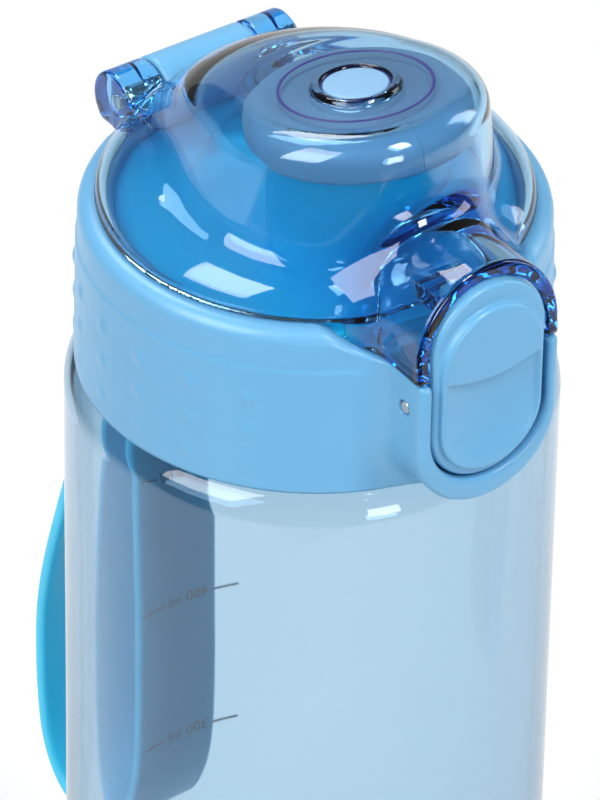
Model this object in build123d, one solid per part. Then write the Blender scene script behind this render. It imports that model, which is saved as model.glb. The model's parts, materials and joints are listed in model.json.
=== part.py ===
from build123d import *
import os
from math import cos, radians, sin

os.makedirs("parts", exist_ok=True)

# Frame: millimetres, +Z up, origin at the centre of the base.
# The button is at the front (-Y), the lid's hinge and the carry strap at the back.

# bottle
BODY_R = 36.5            # outer radius of the straight wall
BODY_WALL = 2.1
RIM_Z = 209.0            # height of the lid's rim above the base
SHOULDER_Z = RIM_Z - 33.0
NECK_BASE_Z = RIM_Z - 27.2
NECK_TOP_Z = RIM_Z - 5.6
NECK_R = 28.0
NECK_WALL = 2.2
SHOULDER_WALL = 2.6      # the wall is thickest where the neck meets the shoulder
SHOULDER_TOP_R = 29.5
FOOT_R = 30.0            # outer edge of the foot ring
SHOULDER_MID_R = 33.05   # a point halfway round the shoulder
SHOULDER_MID_Z = RIM_Z - 28.0
FOOT_CORNER = 7.0
FOOT_W = 3.0             # width of the foot ring
PAD_R = 20.0             # flat middle of the base, level with the foot ring
GROOVE_H = 1.2           # depth of the groove between pad and foot ring
GROOVE_SLANT = 1.5
FLOOR_T = 2.4
FLOOR_CORNER = 8.0

# screw thread
PITCH = 4.0
THREAD_TURNS = 1.6
THREAD_H = 1.5
THREAD_BASE_W = 1.7
THREAD_CREST_W = 0.9
THREAD_GAP = 0.35        # radial clearance between neck and cap
THREAD_SINK = 0.4        # how deep a ridge is rooted in its wall
NECK_THREAD_Z = NECK_BASE_Z + 5.5

# gasket, deck and inner cap
GASKET_T = 1.5
JOINT_GAP = 0.06
DECK_BOTTOM_Z = NECK_TOP_Z + GASKET_T + 2 * JOINT_GAP
DECK_T = 2.0
DECK_TOP_Z = DECK_BOTTOM_Z + DECK_T
INNER_CAP_BORE = NECK_R + THREAD_H + THREAD_GAP
INNER_CAP_R = 31.9
INNER_CAP_BOTTOM_Z = RIM_Z - 23.8

# the plug lies square to the lid's sloping top, and the spout stands upright under it
SPOUT_Y = -9.3
SPOUT_R = 13.0
SPOUT_BORE = 11.2
LID_TOP_Z = RIM_Z + 23.9  # height of the lid's top above the spout's centre
LID_SLOPE = 9.6           # degrees, down towards the hinge
MOUTH_Y = SPOUT_Y - 7.5 * sin(radians(LID_SLOPE))   # centre of the upright spout, under the plug

# collar
COLLAR_BOTTOM_Z = RIM_Z - 28.2
COLLAR_BOTTOM_R = 35.0
COLLAR_R = 34.6
COLLAR_BORE = 32.0
SKIRT_MOUTH_R = 34.1     # the bore opens out at the bottom to clear the bottle's shoulder
SKIRT_MOUTH_H = 2.6
COLLAR_TOP_Z = RIM_Z - 0.3
COLLAR_TOP_R = 32.4
COLLAR_SHOULDER = 5.5     # height of the rounded shoulder under the top edge
FLANGE_R = 29.2           # inner radius of the flange that holds the inner cap down
GRIP_DOT_ROWS = 3
GRIP_DOT_PITCH = 6.1
GRIP_DOT_TOP_Z = RIM_Z - 12.1
GRIP_DOT_STEP = 15.0      # degrees between columns
GRIP_DOT_FIRST = 51.0     # degrees from the front to the first column
GRIP_DOT_COLUMNS = 8      # on each side
GRIP_DOT_R = 1.0
GRIP_DOT_PROUD = 0.35

# front housing and button
BOSS_HALF_W = 12.0
BOSS_FRONT_Y = -43.6
BOSS_BOTTOM_Z = RIM_Z - 27.6
BOSS_TOP_Z = RIM_Z - 4.0
POCKET_HALF_W = 10.1
POCKET_FLOOR_R = 34.0
BUTTON_HALF_W = 9.7
BUTTON_LOW_Z = RIM_Z - 13.6   # centre of the button's lower round end
BUTTON_HIGH_Z = RIM_Z - 0.5   # centre of its upper round end
BUTTON_FRONT_Y = -44.2
BUTTON_T = 3.6
THUMB_INSET = 0.95
THUMB_PROUD = 1.2
SCOOP_DEPTH = 1.7
SCOOP_R = 30.0
SCOOP_Z = RIM_Z - 10.0
THUMB_Z = RIM_Z - 2.7         # centre of the thumb pad's round top
LEDGE_Z = RIM_Z - 5.5
PIVOT_Y = -39.0
PIVOT_Z = RIM_Z - 9.6
PIVOT_BARREL_R = 2.6
LATCH_PIN_R = 1.1
LATCH_PIN_HALF = 11.7
PIN_FIT = 0.02
RUNNING_GAP = 0.05
HOOK_Z = RIM_Z + 4.5
HOOK_HALF_W = 4.0
HOOK_BACK_Y = -36.6
CATCH_FRONT_Y = -36.0

# lid
LID_RIM_R = 32.0
LID_WALL = 1.8
DOME_FRONT_R = 23.5
DOME_FRONT_Y = -4.0
DOME_REAR_R = 18.2
DOME_REAR_Y = 10.0
CREASE_R = 25.4          # where the skirt meets the dome
CREASE_Z = RIM_Z + 7.2
SKIRT_MID = (1.9, 4.4)   # a point on the skirt: in from the rim, up from it
DOME_BASE_Z = RIM_Z + 3.0
DOME_BASE_GROW = 0.6     # the base ring is this much larger than the side's slant gives
DOME_MID_Z = RIM_Z + 14.0
DOME_MID_SHRINK = 1.6
DOME_MID_REAR_SHRINK = 0.4
DOME_MID_FRONT_BACK = 2.6
DOME_MID_REAR_BACK = 4.6
DOME_TOP_R = 18.6
DOME_TOP_EDGE = 4.0
EDGE_STEPS = 4
HOOD_R = 12.25
HOOD_WALL = 2.25
HOOD_Z = RIM_Z - 0.5
HOOD_FRONT_Y = -42.5
HOOD_TIP_Z = RIM_Z - 3.7
NUB_R = 4.8
NUB_HOLE_R = 4.95
RING_R = 6.4
RING_T = 1.2
RING_H = 0.8
PLUG_R = 16.0
PLUG_T = 5.4
PLUG_EDGE = 3.0
STOPPER_H = 3.0
STOPPER_R = 10.3
STOPPER_TAPER = 12.0     # degrees
SEAL_GAP = 0.1

# hinge
HINGE_Y = 29.8
HINGE_Z = RIM_Z + 3.9
BARREL_R = 5.2
KNUCKLE_HALF_W = 8.3
EAR_IN = 8.6
EAR_OUT = 15.3
EAR_RELIEF = 0.35
HINGE_PIN_R = 1.2
HINGE_PIN_HALF = 13.2
SPRING_CAVITY_R = 3.5
SPRING_CAVITY_HALF = 6.0
HINGE_SPRING_R = 2.45
HINGE_WIRE_R = 0.4
LATCH_SPRING_R = 2.1
LATCH_WIRE_R = 0.3
LATCH_SPRING_Z = RIM_Z - 19.5

# carry strap
STRAP_HALF_W = 8.0
STRAP_T = 2.3
STRAP_RING_IN = NECK_R + 0.4
STRAP_RING_OUT = 31.0
STRAP_RING_H = 2.4
STRAP_RING_Z = NECK_BASE_Z + 0.15
STRAP_HINGE_Y = 38.6
STRAP_HINGE_Z = RIM_Z - 30.2
STRAP_ROOT_R = 1.2
STRAP_ROOT_GAP = 0.12
STRAP_TAB_KNEE_Y = 34.4      # where the tab bends down over the shoulder
STRAP_TAB_T = 1.9            # its thickness at the hinge line
STRAP_WALL_GAP = 0.4
STRAP_LOOP_Y = 63.8          # furthest reach of the loop behind the axis
STRAP_LOOP_BOTTOM = RIM_Z - 149.0
LOOP_BEND = 12.5             # radius at the bottom of the loop
LOOP_BELLY_Z = RIM_Z - 116.0
LOOP_SLOPE_Y = 54.6          # a corner that the outer strand is bent round
LOOP_SLOPE_Z = RIM_Z - 82.0
STRAP_NOTCH_H = 4.2


def cylinder_x(radius, x_from, x_to, y, z):
    """Solid cylinder along X."""
    length = x_to - x_from
    return Pos((x_from + x_to) / 2, y, z) * Rot(0, 90, 0) * Cylinder(radius, length)


def block(x_from, x_to, y_from, y_to, z_from, z_to):
    """Solid box between two corners."""
    centre = Pos((x_from + x_to) / 2, (y_from + y_to) / 2, (z_from + z_to) / 2)
    return centre * Box(x_to - x_from, y_to - y_from, z_to - z_from)


def upright(radius, z_from, z_to, x=0.0, y=0.0):
    """Solid cylinder along Z."""
    return Pos(x, y, (z_from + z_to) / 2) * Cylinder(radius, z_to - z_from)


def tube(outer, inner, z_from, z_to):
    """Plain ring about the Z axis."""
    return upright(outer, z_from, z_to) - upright(inner, z_from - 1, z_to + 1)


def spun(*edges):
    """Solid of revolution about Z from a closed outline drawn as (radius, height)."""
    outline = make_face(edges)
    return revolve(Plane.XZ * outline, Axis.Z)


def front_prism(outline, y_from, y_to):
    """Prism along Y from an outline drawn as (x, height)."""
    plane = Plane(origin=(0, y_to, 0), x_dir=(1, 0, 0), z_dir=(0, -1, 0))
    return extrude(plane * outline, y_to - y_from)


def thread_ridge(base_r, crest_r, z_start):
    """Helical ridge with a trapezoid section, rooted at base_r and ending at crest_r."""
    outward = 1 if crest_r > base_r else -1
    root = base_r - outward * THREAD_SINK
    helix = Helix(PITCH, PITCH * THREAD_TURNS, base_r, center=(0, 0, z_start))
    half_base = THREAD_BASE_W / 2
    half_crest = THREAD_CREST_W / 2
    corners = [(root, -half_base), (base_r, -half_base), (crest_r, -half_crest),
               (crest_r, half_crest), (base_r, half_base), (root, half_base)]
    points = [(r, 0, z_start + z) for r, z in corners]
    section = make_face(Polyline(*points, close=True))
    return sweep(section, path=helix, normal=(0, 0, 1))


def lid_plane(depth=0.0):
    """Plane parallel to the lid's sloping top, depth below it, centred over the spout."""
    slope = radians(LID_SLOPE)
    up = Vector(0, sin(slope), cos(slope))
    centre = Vector(0, SPOUT_Y, LID_TOP_Z) - up * depth
    return Plane(origin=centre, x_dir=(1, 0, 0), z_dir=up)


def stadium(half_width, low_z, high_z):
    """Outline with two round ends, the centres of which are at low_z and high_z."""
    ends = Pos(0, low_z) * Circle(half_width) + Pos(0, high_z) * Circle(half_width)
    middle = Pos(0, (low_z + high_z) / 2) * Rectangle(2 * half_width, high_z - low_z)
    return ends + middle


# ---------------------------------------------------------------- bottle

def bottle_body():
    neck_bore = NECK_R - NECK_WALL
    inner_r = BODY_R - BODY_WALL
    groove_in = PAD_R + GROOVE_SLANT
    groove_out = FOOT_R - FOOT_W - GROOVE_SLANT
    outer = spun(
        Line((0, 0), (PAD_R, 0)),
        Line((PAD_R, 0), (groove_in, GROOVE_H)),
        Line((groove_in, GROOVE_H), (groove_out, GROOVE_H)),
        Line((groove_out, GROOVE_H), (FOOT_R - FOOT_W, 0)),
        Line((FOOT_R - FOOT_W, 0), (FOOT_R, 0)),
        ThreePointArc((FOOT_R, 0), (BODY_R - 2.0, 2.4), (BODY_R, FOOT_CORNER)),
        Line((BODY_R, FOOT_CORNER), (BODY_R, SHOULDER_Z)),
        ThreePointArc((BODY_R, SHOULDER_Z), (SHOULDER_MID_R, SHOULDER_MID_Z), (SHOULDER_TOP_R, NECK_BASE_Z)),
        Line((SHOULDER_TOP_R, NECK_BASE_Z), (NECK_R, NECK_BASE_Z)),
        Line((NECK_R, NECK_BASE_Z), (NECK_R, NECK_TOP_Z)),
        Line((NECK_R, NECK_TOP_Z), (0, NECK_TOP_Z)),
        Line((0, NECK_TOP_Z), (0, 0)))
    floor_z = GROOVE_H + FLOOR_T
    floor_r = inner_r - FLOOR_CORNER
    bend = FLOOR_CORNER * (1 - cos(radians(45)))
    hollow = spun(
        Line((0, floor_z), (floor_r, floor_z)),
        ThreePointArc((floor_r, floor_z), (inner_r - bend, floor_z + bend),
                      (inner_r, floor_z + FLOOR_CORNER)),
        Line((inner_r, floor_z + FLOOR_CORNER), (inner_r, SHOULDER_Z - 1)),
        ThreePointArc((inner_r, SHOULDER_Z - 1), (SHOULDER_MID_R - NECK_WALL, SHOULDER_MID_Z - NECK_WALL),
                      (neck_bore, NECK_BASE_Z - SHOULDER_WALL)),
        Line((neck_bore, NECK_BASE_Z - SHOULDER_WALL), (neck_bore, NECK_TOP_Z + 1)),
        Line((neck_bore, NECK_TOP_Z + 1), (0, NECK_TOP_Z + 1)),
        Line((0, NECK_TOP_Z + 1), (0, floor_z)))
    ridge = thread_ridge(NECK_R, NECK_R + THREAD_H, NECK_THREAD_Z)
    return outer + ridge - hollow


# ---------------------------------------------------------------- carry strap

def strap_ring():
    bottom = STRAP_RING_Z
    top = bottom + STRAP_RING_H
    root_y = STRAP_RING_OUT - 1.0
    ring = tube(STRAP_RING_OUT, STRAP_RING_IN, bottom, top)
    # the tab follows the bottle's shoulder out to the hinge line
    corners = [(root_y, bottom), (root_y, top), (STRAP_TAB_KNEE_Y, top),
               (STRAP_HINGE_Y, STRAP_HINGE_Z + STRAP_TAB_T), (STRAP_HINGE_Y - 0.4, STRAP_HINGE_Z),
               (STRAP_HINGE_Y - 2.0, STRAP_HINGE_Z + 0.3), (STRAP_TAB_KNEE_Y - 1.2, bottom - 0.45)]
    side = Plane(origin=(-STRAP_HALF_W, 0, 0), x_dir=(0, 1, 0), z_dir=(1, 0, 0))
    tab = extrude(side * make_face(Polyline(*corners, close=True)), 2 * STRAP_HALF_W)
    socket = cylinder_x(STRAP_ROOT_R + STRAP_ROOT_GAP, -20, 20, STRAP_HINGE_Y, STRAP_HINGE_Z)
    return ring + tab - socket


def strap_loop():
    wall_y = BODY_R + STRAP_WALL_GAP
    bottom = STRAP_LOOP_BOTTOM
    top_z = STRAP_HINGE_Z - 1.0
    corners = [(STRAP_HINGE_Y + STRAP_ROOT_R, top_z), (wall_y, top_z - 3.0), (wall_y, bottom),
               (STRAP_LOOP_Y + 0.6, bottom), (STRAP_LOOP_Y, LOOP_BELLY_Z), (LOOP_SLOPE_Y, LOOP_SLOPE_Z)]
    bends = [1.0, 4.0, LOOP_BEND, LOOP_BEND, 40.0, 60.0]
    outline = make_face(FilletPolyline(*corners, radius=bends, close=True))
    inside = offset(outline, -STRAP_T)
    side = Plane(origin=(-STRAP_HALF_W, 0, 0), x_dir=(0, 1, 0), z_dir=(1, 0, 0))
    loop = extrude(side * (outline - inside), 2 * STRAP_HALF_W)
    root = cylinder_x(STRAP_ROOT_R, -STRAP_HALF_W, STRAP_HALF_W, STRAP_HINGE_Y, STRAP_HINGE_Z)
    neck = block(-STRAP_HALF_W, STRAP_HALF_W, STRAP_HINGE_Y - 0.9, STRAP_HINGE_Y + 1.1,
                 STRAP_HINGE_Z - 3.5, STRAP_HINGE_Z - 0.3)
    return loop + root + neck


# ---------------------------------------------------------------- cap

def neck_gasket():
    bottom = NECK_TOP_Z + JOINT_GAP
    return tube(NECK_R, NECK_R - NECK_WALL + 0.1, bottom, bottom + GASKET_T)


def inner_cap():
    wall = tube(INNER_CAP_R, INNER_CAP_BORE, INNER_CAP_BOTTOM_Z, DECK_BOTTOM_Z + 0.5)
    deck = upright(INNER_CAP_R, DECK_BOTTOM_Z, DECK_TOP_Z)
    ridge_z = NECK_THREAD_Z + PITCH / 2
    ridge = thread_ridge(INNER_CAP_BORE, NECK_R + THREAD_GAP, ridge_z)
    blank = upright(SPOUT_R, DECK_BOTTOM_Z + 0.5, LID_TOP_Z, y=MOUTH_Y)
    depth = LID_WALL + PLUG_T + 3 * SEAL_GAP
    above = extrude(lid_plane(depth) * Rectangle(80, 80), 40)
    bore = upright(SPOUT_BORE, DECK_BOTTOM_Z - 1, LID_TOP_Z + 5, y=MOUTH_Y)
    return wall + deck + (blank - above) + ridge - bore


def collar_shell():
    top_in = COLLAR_TOP_Z - DECK_TOP_Z - JOINT_GAP
    return spun(
        Line((SKIRT_MOUTH_R, COLLAR_BOTTOM_Z), (COLLAR_BOTTOM_R, COLLAR_BOTTOM_Z)),
        Line((COLLAR_BOTTOM_R, COLLAR_BOTTOM_Z), (COLLAR_R, COLLAR_TOP_Z - COLLAR_SHOULDER)),
        ThreePointArc((COLLAR_R, COLLAR_TOP_Z - COLLAR_SHOULDER),
                      (COLLAR_R - 0.55, COLLAR_TOP_Z - 2.1), (COLLAR_TOP_R, COLLAR_TOP_Z)),
        Line((COLLAR_TOP_R, COLLAR_TOP_Z), (FLANGE_R, COLLAR_TOP_Z)),
        Line((FLANGE_R, COLLAR_TOP_Z), (FLANGE_R, COLLAR_TOP_Z - top_in)),
        Line((FLANGE_R, COLLAR_TOP_Z - top_in), (COLLAR_BORE, COLLAR_TOP_Z - top_in)),
        Line((COLLAR_BORE, COLLAR_TOP_Z - top_in), (COLLAR_BORE, COLLAR_BOTTOM_Z + SKIRT_MOUTH_H)),
        Line((COLLAR_BORE, COLLAR_BOTTOM_Z + SKIRT_MOUTH_H), (SKIRT_MOUTH_R, COLLAR_BOTTOM_Z)))


def grip_dots():
    dots = []
    for side in (-1, 1):
        for column in range(GRIP_DOT_COLUMNS):
            turn = GRIP_DOT_FIRST + column * GRIP_DOT_STEP
            for row in range(GRIP_DOT_ROWS):
                height = GRIP_DOT_TOP_Z - row * GRIP_DOT_PITCH
                radius = COLLAR_R + GRIP_DOT_PROUD - 2.0
                dot = Pos(0, -radius, height) * Rot(90, 0, 0) * Cylinder(GRIP_DOT_R, 4.0)
                dots.append(Rot(0, 0, side * turn) * dot)
    return dots


def cap_collar():
    shell = collar_shell()
    low = BOSS_BOTTOM_Z + BOSS_HALF_W
    boss_outline = stadium(BOSS_HALF_W, low, BOSS_TOP_Z) - Pos(0, BOSS_TOP_Z + 20) * Rectangle(60, 40)
    boss = front_prism(boss_outline, BOSS_FRONT_Y, -30.0)
    boss = fillet(boss.edges().filter_by_position(Axis.Y, BOSS_FRONT_Y - 0.01, BOSS_FRONT_Y + 0.01)
                  .filter_by(lambda e: e.center().Z < BOSS_TOP_Z - 0.1), 1.0)
    boss -= upright(SKIRT_MOUTH_R, 0, 300)
    web = block(-KNUCKLE_HALF_W, KNUCKLE_HALF_W, HINGE_Y - 3.4, HINGE_Y + 5.0, DECK_TOP_Z + 0.3, HINGE_Z)
    web &= upright(COLLAR_R - 0.4, 0, 300)
    knuckle = cylinder_x(BARREL_R, -KNUCKLE_HALF_W, KNUCKLE_HALF_W, HINGE_Y, HINGE_Z)
    collar = shell + boss + web + knuckle
    # pocket for the button, leaving the collar's own wall as its floor
    pocket = front_prism(stadium(POCKET_HALF_W, BUTTON_LOW_Z, BUTTON_HIGH_Z), -50, -25)
    collar -= pocket - upright(POCKET_FLOOR_R, 0, 300)
    # slots in the collar's top edge for the hood's legs
    for side in (-1, 1):
        x_from, x_to = sorted((side * (HOOD_R - HOOD_WALL - 0.3), side * (HOOD_R + 0.3)))
        collar -= block(x_from, x_to, -50, -20, BOSS_TOP_Z, RIM_Z + 5) - upright(COLLAR_BORE, 0, 300)
        # relief under the lid's ears
        x_from, x_to = sorted((side * KNUCKLE_HALF_W, side * (EAR_OUT + EAR_RELIEF)))
        collar -= cylinder_x(BARREL_R + EAR_RELIEF, x_from, x_to, HINGE_Y, HINGE_Z)
    collar -= cylinder_x(HINGE_PIN_R + RUNNING_GAP, -20, 20, HINGE_Y, HINGE_Z)
    collar -= cylinder_x(SPRING_CAVITY_R, -SPRING_CAVITY_HALF, SPRING_CAVITY_HALF, HINGE_Y, HINGE_Z)
    collar -= cylinder_x(LATCH_PIN_R + PIN_FIT, -20, 20, PIVOT_Y, PIVOT_Z)
    # notch for the strap's tab at the back
    collar -= block(-STRAP_HALF_W - 0.6, STRAP_HALF_W + 0.6, 20, 40,
                    COLLAR_BOTTOM_Z - 1, COLLAR_BOTTOM_Z + STRAP_NOTCH_H)
    bore = upright(COLLAR_BORE, COLLAR_BOTTOM_Z - 5, DECK_TOP_Z)
    return collar + [dot - bore for dot in grip_dots()]


# ---------------------------------------------------------------- lid

def egg(front_r, front_y, rear_r, rear_y):
    """Round-ended outline, wider at the front."""
    front = Pos(0, front_y) * Circle(front_r)
    rear = Pos(0, rear_y) * Circle(rear_r)
    return make_hull((front + rear).edges())


def top_outline(inset):
    """Outline of the dome's top, on the sloping plane."""
    return egg(DOME_TOP_R - inset, 0.0, DOME_TOP_R - 1.2 - inset, 1.2)


def lid_form(inset):
    """The closed form of skirt and dome, made smaller all over by inset."""
    low = RIM_Z - (6 if inset else 0)
    rim = LID_RIM_R - inset
    crease_r = CREASE_R - inset
    crease_z = CREASE_Z - inset
    skirt_mid = (rim - SKIRT_MID[0], RIM_Z + SKIRT_MID[1] - inset * 0.4)
    skirt = spun(
        Line((0, low), (rim, low)),
        *([Line((rim, low), (rim, RIM_Z))] if inset else []),
        ThreePointArc((rim, RIM_Z), skirt_mid, (crease_r, crease_z)),
        Line((crease_r, crease_z), (0, crease_z)),
        Line((0, crease_z), (0, low)))
    grow = DOME_BASE_GROW - inset
    base = egg(DOME_FRONT_R + grow, DOME_FRONT_Y, DOME_REAR_R + grow, DOME_REAR_Y)
    middle = egg(DOME_FRONT_R - DOME_MID_SHRINK - inset, DOME_FRONT_Y - DOME_MID_FRONT_BACK,
                 DOME_REAR_R - DOME_MID_REAR_SHRINK - inset, DOME_REAR_Y - DOME_MID_REAR_BACK)
    dome = loft([Plane.XY.offset(DOME_BASE_Z) * base,
                 Plane.XY.offset(DOME_MID_Z) * middle,
                 lid_plane(DOME_TOP_EDGE) * top_outline(inset)], ruled=True)
    # rounded top edge, in flat rings that step in along a quarter circle
    radius = DOME_TOP_EDGE - inset
    for step in range(EDGE_STEPS):
        turns = [radians(90 * (step + i) / EDGE_STEPS) for i in (0, 1)]
        rings = [lid_plane(inset + radius * (1 - sin(a))) * top_outline(inset + radius * (1 - cos(a)))
                 for a in turns]
        dome += loft(rings, ruled=True)
    return skirt + dome


def lid_cover():
    outer = lid_form(0.0)
    inner = lid_form(LID_WALL)
    legs = Pos(0, (HOOD_TIP_Z + HOOD_Z) / 2) * Rectangle(2 * HOOD_R, HOOD_Z - HOOD_TIP_Z)
    hood = front_prism(Pos(0, HOOD_Z) * Circle(HOOD_R) + legs, HOOD_FRONT_Y, -22.0)
    hood -= front_prism(Pos(0, HOOD_TIP_Z - 20) * Rectangle(60, 40), HOOD_FRONT_Y - 1, -21.0)
    under_r = HOOD_R - HOOD_WALL
    under = Pos(0, HOOD_Z) * Circle(under_r) + Pos(0, HOOD_Z - 15) * Rectangle(2 * under_r, 30)
    tunnel = front_prism(under, -50, -20) - outer
    tunnel -= upright(LID_RIM_R, RIM_Z, RIM_Z + 1.0)
    lid = outer + hood
    for side in (-1, 1):
        x_from, x_to = sorted((side * EAR_IN, side * EAR_OUT))
        lid += cylinder_x(BARREL_R, x_from, x_to, HINGE_Y, HINGE_Z)
        arm = make_face(Polyline((HINGE_Y, HINGE_Z + BARREL_R), (HINGE_Y, HINGE_Z - 3.7),
                                 (18.0, RIM_Z + 0.2), (12.0, RIM_Z + 9.0), close=True))
        plane = Plane(origin=(x_from, 0, 0), x_dir=(0, 1, 0), z_dir=(1, 0, 0))
        lid += extrude(plane * arm, x_to - x_from)
    lid -= inner + upright(LID_RIM_R + 0.3, RIM_Z - 8, RIM_Z)
    lid -= tunnel
    # catch that the button's hook stands in front of
    catch = block(-HOOK_HALF_W, HOOK_HALF_W, CATCH_FRONT_Y, -29.5, HOOK_Z - 3.4, HOOK_Z - 0.6) - inner
    lid += catch
    # room for the knuckle
    lid -= block(-EAR_IN, EAR_IN, HINGE_Y - BARREL_R - 0.5, 50, RIM_Z - 10, RIM_Z + 40)
    for side in (-1, 1):
        far = HINGE_PIN_HALF + 0.1 if side < 0 else EAR_OUT + 1
        x_from, x_to = sorted((side * (EAR_IN - 1), side * far))
        lid -= cylinder_x(HINGE_PIN_R + RUNNING_GAP, x_from, x_to, HINGE_Y, HINGE_Z)
    lid += extrude(lid_plane(0.3) * (Circle(RING_R) - Circle(RING_R - RING_T)), RING_H + 0.3)
    lid -= extrude(lid_plane(5) * Circle(NUB_HOLE_R), 10)
    return lid


def lid_plug():
    top = LID_WALL + SEAL_GAP
    disc = extrude(lid_plane(top + PLUG_T) * Circle(PLUG_R), PLUG_T)
    disc = fillet(disc.edges().sort_by(Axis.Z)[-1], PLUG_EDGE)
    nub = extrude(lid_plane(top + 0.5) * Circle(NUB_R), top + 0.5 + RING_H - 0.2)
    stopper = extrude(lid_plane(top + PLUG_T) * Circle(STOPPER_R), -STOPPER_H, taper=STOPPER_TAPER)
    return disc + nub + stopper


def latch_button():
    plate = front_prism(stadium(BUTTON_HALF_W, BUTTON_LOW_Z, BUTTON_HIGH_Z),
                        BUTTON_FRONT_Y + THUMB_PROUD, BUTTON_FRONT_Y + BUTTON_T)
    thumb_r = BUTTON_HALF_W - THUMB_INSET
    thumb = front_prism(stadium(thumb_r, BUTTON_LOW_Z, THUMB_Z), BUTTON_FRONT_Y, BUTTON_FRONT_Y + 1.5)
    barrel = cylinder_x(PIVOT_BARREL_R, -8.0, 8.0, PIVOT_Y, PIVOT_Z)
    nose = block(-HOOK_HALF_W, HOOK_HALF_W, BUTTON_FRONT_Y + 1.5, HOOK_BACK_Y, HOOK_Z, HOOK_Z + 2.0)
    # hollow for the thumb under the ledge
    scoop = Pos(0, BUTTON_FRONT_Y + SCOOP_DEPTH - SCOOP_R, SCOOP_Z) * Sphere(SCOOP_R)
    scoop &= block(-thumb_r, thumb_r, -90, -30, BUTTON_LOW_Z - thumb_r, LEDGE_Z)
    button = plate + thumb + barrel + nose - scoop
    return button - cylinder_x(LATCH_PIN_R + RUNNING_GAP, -20, 20, PIVOT_Y, PIVOT_Z)


# ---------------------------------------------------------------- pins and springs

def latch_pin():
    return cylinder_x(LATCH_PIN_R, -LATCH_PIN_HALF, LATCH_PIN_HALF, PIVOT_Y, PIVOT_Z)


def hinge_pin():
    return cylinder_x(HINGE_PIN_R, -HINGE_PIN_HALF, HINGE_PIN_HALF, HINGE_Y, HINGE_Z)


def coil(radius, wire_r, pitch, length, place):
    """Wire coil about the Z axis of the place it is put at."""
    helix = Helix(pitch, length, radius)
    start = helix @ 0
    section = Plane(origin=start, z_dir=helix % 0) * Circle(wire_r)
    return place * sweep(section, path=helix, is_frenet=True)


def latch_spring():
    back = -POCKET_FLOOR_R - LATCH_WIRE_R - 0.1
    front = BUTTON_FRONT_Y + BUTTON_T + LATCH_WIRE_R + 0.1
    length = back - front
    place = Pos(0, back, LATCH_SPRING_Z) * Rot(90, 0, 0)
    return coil(LATCH_SPRING_R, LATCH_WIRE_R, length / 4, length, place)


def hinge_spring():
    half = SPRING_CAVITY_HALF - HINGE_WIRE_R - 0.2
    place = Pos(-half, HINGE_Y, HINGE_Z) * Rot(0, 90, 0)
    return coil(HINGE_SPRING_R, HINGE_WIRE_R, 1.1, 2 * half, place)


PIECES = {
    "bottle_body": bottle_body,
    "strap_ring": strap_ring,
    "strap_loop": strap_loop,
    "neck_gasket": neck_gasket,
    "inner_cap": inner_cap,
    "cap_collar": cap_collar,
    "lid_cover": lid_cover,
    "lid_plug": lid_plug,
    "latch_button": latch_button,
    "latch_pin": latch_pin,
    "hinge_pin": hinge_pin,
    "latch_spring": latch_spring,
    "hinge_spring": hinge_spring,
}

for name, make in PIECES.items():
    export_step(make(), f"parts/{name}.step")
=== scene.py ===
import json
import math

import bpy
import numpy as np
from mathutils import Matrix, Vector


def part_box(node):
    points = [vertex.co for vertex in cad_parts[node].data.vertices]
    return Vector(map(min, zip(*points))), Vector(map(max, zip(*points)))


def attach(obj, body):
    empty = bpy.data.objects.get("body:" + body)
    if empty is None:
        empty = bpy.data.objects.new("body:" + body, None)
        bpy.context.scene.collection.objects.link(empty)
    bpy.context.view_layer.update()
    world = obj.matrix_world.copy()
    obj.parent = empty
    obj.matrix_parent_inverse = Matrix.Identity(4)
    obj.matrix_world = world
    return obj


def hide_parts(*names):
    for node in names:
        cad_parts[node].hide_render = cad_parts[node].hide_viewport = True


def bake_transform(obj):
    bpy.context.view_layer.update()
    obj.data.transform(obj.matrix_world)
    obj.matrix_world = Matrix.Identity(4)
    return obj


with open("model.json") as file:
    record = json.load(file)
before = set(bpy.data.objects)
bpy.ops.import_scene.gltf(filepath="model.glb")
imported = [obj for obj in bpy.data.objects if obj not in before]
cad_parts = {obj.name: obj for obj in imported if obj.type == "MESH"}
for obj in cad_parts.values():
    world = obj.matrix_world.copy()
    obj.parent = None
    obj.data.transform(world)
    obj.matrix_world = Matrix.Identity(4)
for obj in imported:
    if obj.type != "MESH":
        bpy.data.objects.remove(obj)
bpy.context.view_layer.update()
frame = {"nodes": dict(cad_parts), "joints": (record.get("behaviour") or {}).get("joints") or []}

import openvdb
from mathutils import Matrix, Vector

# The studio: a white acrylic light table that sweeps up behind, softboxes from the left, front, right
# and behind, and a dim room. The camera looks down on the cap from a metre away with a long lens.
MM = 0.001
joints = {joint["name"]: joint for joint in frame["joints"]}
lid_hinge = [v / MM for v in joints["lid_open"]["pos_m"]]
RIM = lid_hinge[2] - 3.9          # height of the lid's rim above the table, in millimetres

CAMERA_AZIMUTH = math.radians(-35.4)
TABLE_HALF_WIDTH = 1.1
TABLE_NEAR, TABLE_FAR = -0.30, 2.0     # along the line of sight, from the bottle
SWEEP_R = 0.5                          # the sheet curves up behind into a back wall
WALL_TOP = 1.6
TABLE_WHITE = (0.62, 0.625, 0.63)
TABLE_GLOW = 0.22

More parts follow.
